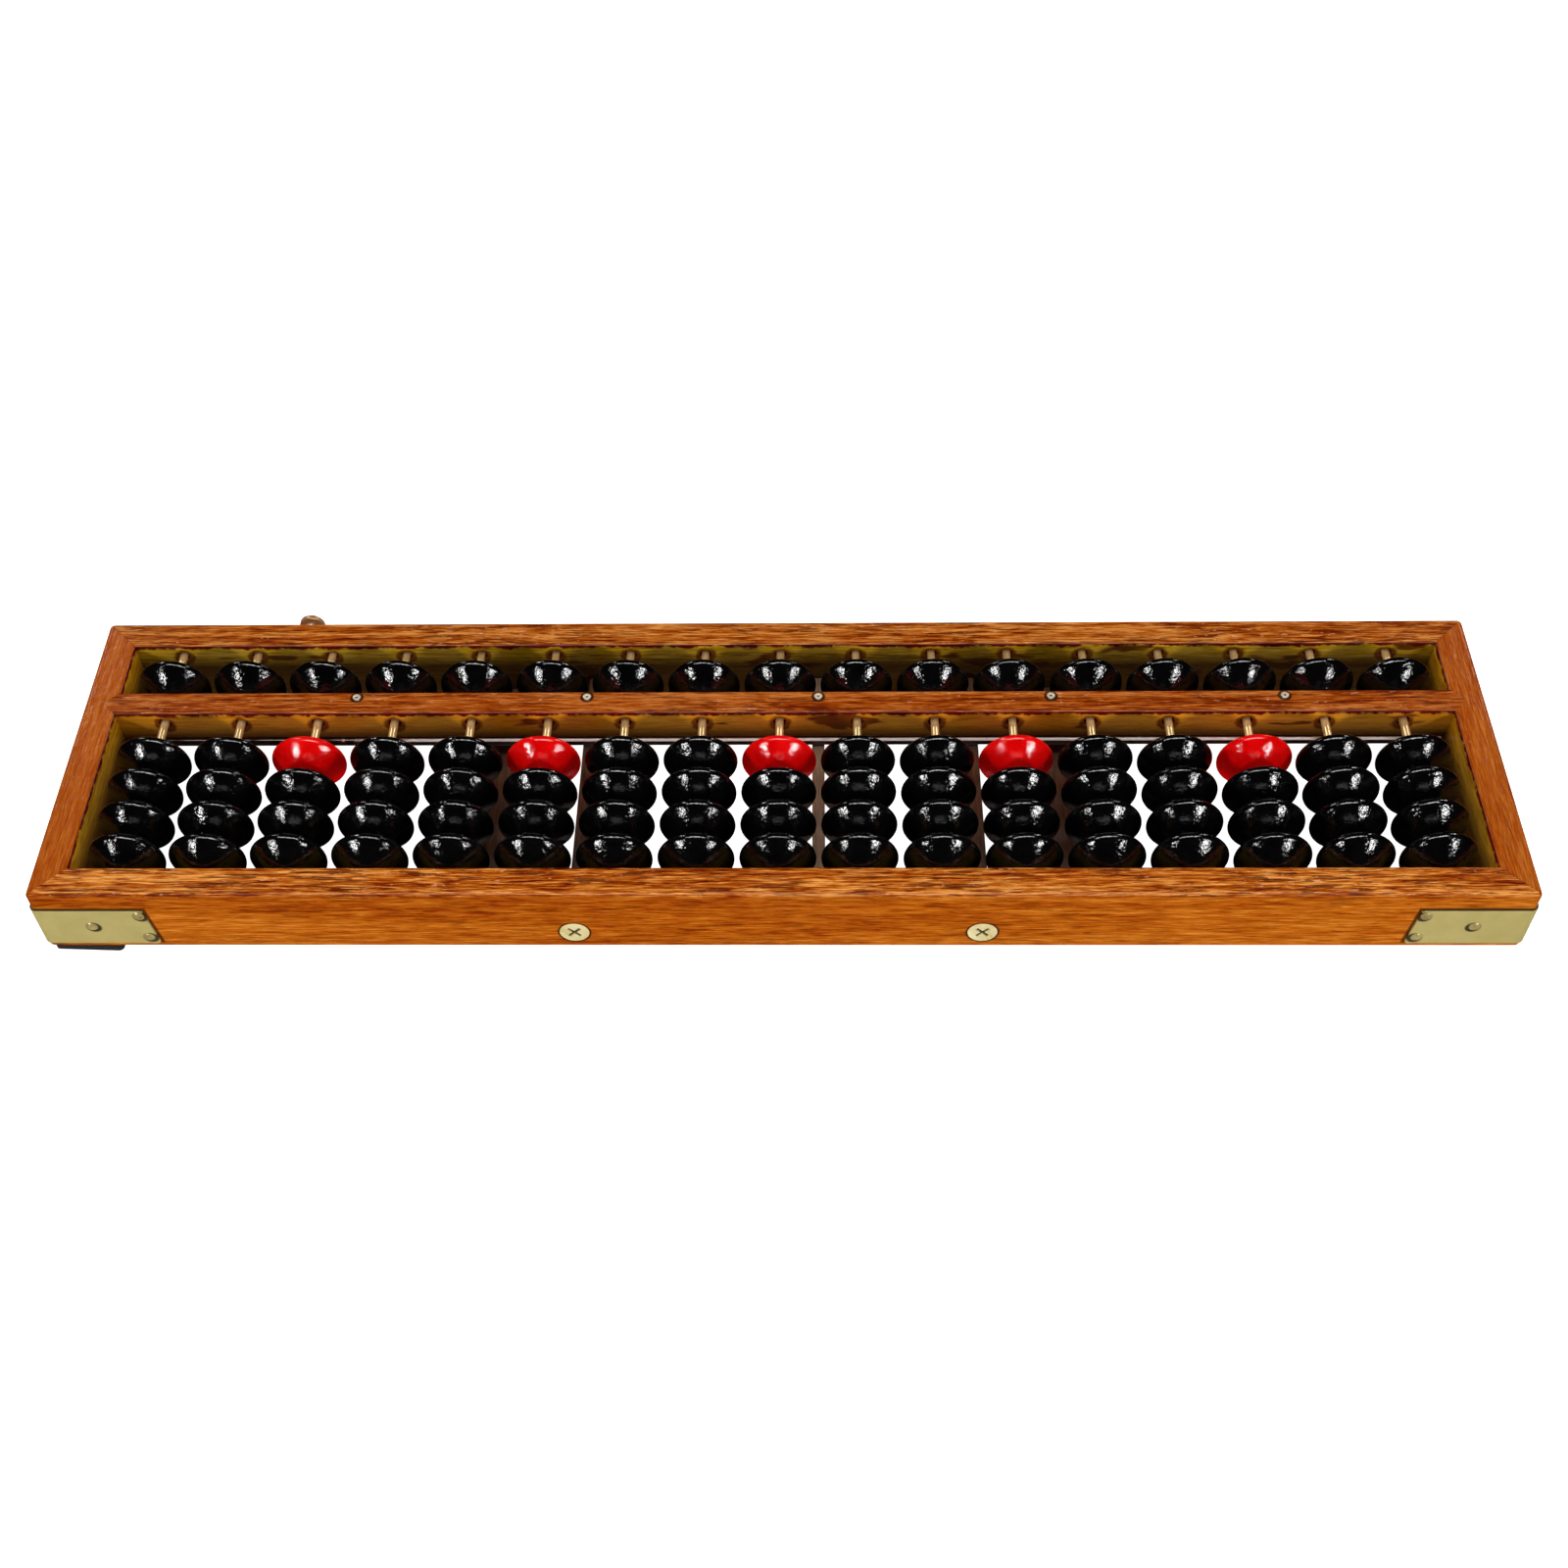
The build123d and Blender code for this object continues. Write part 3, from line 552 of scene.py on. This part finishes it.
def spring_line(low, high, steps_per_turn=28):
    """Points along the middle of the wire, with the turns at both ends closed up."""
    middle = (low + high) / 2
    start, length = low.y + SPRING_WIRE_R, high.y - low.y - 2 * SPRING_WIRE_R
    closed = SPRING_END_TURNS * 2 * SPRING_WIRE_R
    pitch = (length - 2 * closed) / (SPRING_TURNS - 2 * SPRING_END_TURNS)
    points = []
    for step in range(int(SPRING_TURNS * steps_per_turn) + 1):
        turn = step / steps_per_turn
        slow = min(turn, SPRING_END_TURNS) + max(turn - SPRING_TURNS + SPRING_END_TURNS, 0.0)
        along = slow * 2 * SPRING_WIRE_R + (turn - slow) * pitch
        angle = 2 * math.pi * turn
        points.append(Vector((middle.x + SPRING_COIL_R * math.cos(angle), start + along,
                              middle.z + SPRING_COIL_R * math.sin(angle))))
    return points


def return_spring(sides=10):
    """Coil spring between the pocket floor and the knob, in place of the CAD spring."""
    low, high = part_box("return_spring")
    middle = (low + high) / 2
    points = spring_line(low, high)
    wire = bmesh.new()
    rings = []
    for index, point in enumerate(points):
        forward = (points[min(index + 1, len(points) - 1)] - points[max(index - 1, 0)]).normalized()
        outward = Vector((point.x - middle.x, 0.0, point.z - middle.z)).normalized()
        outward = (outward - forward * outward.dot(forward)).normalized()
        upright = forward.cross(outward)
        turns = [2 * math.pi * side / sides for side in range(sides)]
        rings.append([wire.verts.new(point + SPRING_WIRE_R * (math.cos(t) * outward + math.sin(t) * upright))
                      for t in turns])
    for near, far in zip(rings, rings[1:]):
        for side in range(sides):
            after = (side + 1) % sides
            wire.faces.new((near[side], near[after], far[after], far[side]))
    wire.faces.new(list(reversed(rings[0])))
    wire.faces.new(rings[-1])
    bmesh.ops.recalc_face_normals(wire, faces=wire.faces)
    for face in wire.faces:
        face.smooth = len(face.verts) == 4
    mesh = bpy.data.meshes.new("coil_spring")
    wire.to_mesh(mesh)
    wire.free()
    coil = bpy.data.objects.new("coil_spring", mesh)
    bpy.context.scene.collection.objects.link(coil)
    mesh.materials.append(steel)
    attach(coil, "frame")
    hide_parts("return_spring")
    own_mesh(coil)


return_spring()


# ---------------------------------------------------------------- floor, light, camera

FLOOR_SIZE = 40.0
LIGHT_TARGET = (0.0, 0.0, 0.01)


def floor():
    """White floor that the glossy pieces don't mirror."""
    bpy.ops.mesh.primitive_plane_add(size=FLOOR_SIZE, location=(0.0, 0.0, 0.0))
    plane = bpy.context.object
    plane.name = "floor"
    material, tree, shader = new_material("floor_white")
    feed(tree, shader, Base_Color=grey(0.8), Roughness=0.9, Emission_Color=grey(1.0), Emission_Strength=1.0)
    plane.data.materials.append(material)
    plane.visible_glossy = False


def aim(thing, target):
    direction = Vector(target) - thing.location
    thing.rotation_euler = direction.to_track_quat("-Z", "Y").to_euler()


def softbox(name, place_at, size, power, glossy=True, diffuse=True):
    """Soft light at a place, turned to the object; one without gloss leaves no highlights."""
    data = bpy.data.lights.new(name, "AREA")
    data.shape = "RECTANGLE"
    data.size, data.size_y = size
    data.energy = power
    lamp = bpy.data.objects.new(name, data)
    bpy.context.scene.collection.objects.link(lamp)
    lamp.location = place_at
    lamp.visible_glossy = glossy
    lamp.visible_diffuse = diffuse
    aim(lamp, LIGHT_TARGET)


def world(strength):
    """White backdrop for the camera, which neither lights nor reflects in the object."""
    scene_world = bpy.data.worlds.new("studio")
    scene_world.use_nodes = True
    background = scene_world.node_tree.nodes["Background"]
    background.inputs["Color"].default_value = grey(1.0)
    background.inputs["Strength"].default_value = strength
    bpy.context.scene.world = scene_world
    scene_world.cycles_visibility.glossy = False
    scene_world.cycles_visibility.diffuse = False


def camera():
    """Camera at the viewing angle: turned, tilted down and rolled a little about its axis."""
    data = bpy.data.cameras.new("camera")
    data.lens = CAMERA_LENS
    data.sensor_width = SENSOR_WIDTH
    data.shift_x, data.shift_y = CAMERA_SHIFT
    data.clip_start = 0.01
    eye = bpy.data.objects.new("camera", data)
    bpy.context.scene.collection.objects.link(eye)
    ahead = Vector((math.sin(CAMERA_TURN) * math.cos(CAMERA_DOWN),
                    math.cos(CAMERA_TURN) * math.cos(CAMERA_DOWN), -math.sin(CAMERA_DOWN)))
    level = ahead.cross(Vector((0.0, 0.0, 1.0))).normalized()
    upright = level.cross(ahead)
    right = math.cos(CAMERA_ROLL) * level + math.sin(CAMERA_ROLL) * upright
    up = right.cross(ahead)
    turn = Matrix((right, up, -ahead)).transposed().to_4x4()
    eye.matrix_world = Matrix.Translation(CAMERA_PLACE) @ turn
    bpy.context.scene.camera = eye


floor()
world(1.0)
softbox("key_left", (-1.46, -1.98, 0.88), (0.25, 0.25), 18.0)
softbox("key_right", (1.46, -1.98, 0.88), (0.32, 0.32), 20.0)
softbox("back_left", (-1.35, 1.67, 1.48), (0.30, 0.30), 8.0)
softbox("back_right", (1.35, 1.67, 1.48), (0.30, 0.30), 8.0)
softbox("top_strip", (0.0, -0.28, 1.16), (1.1, 0.26), 14.0, diffuse=False)
softbox("top_fill", (0.0, 0.1, 1.5), (1.2, 1.2), 17.0, glossy=False)
camera()
bpy.context.scene.view_settings.view_transform = "Standard"
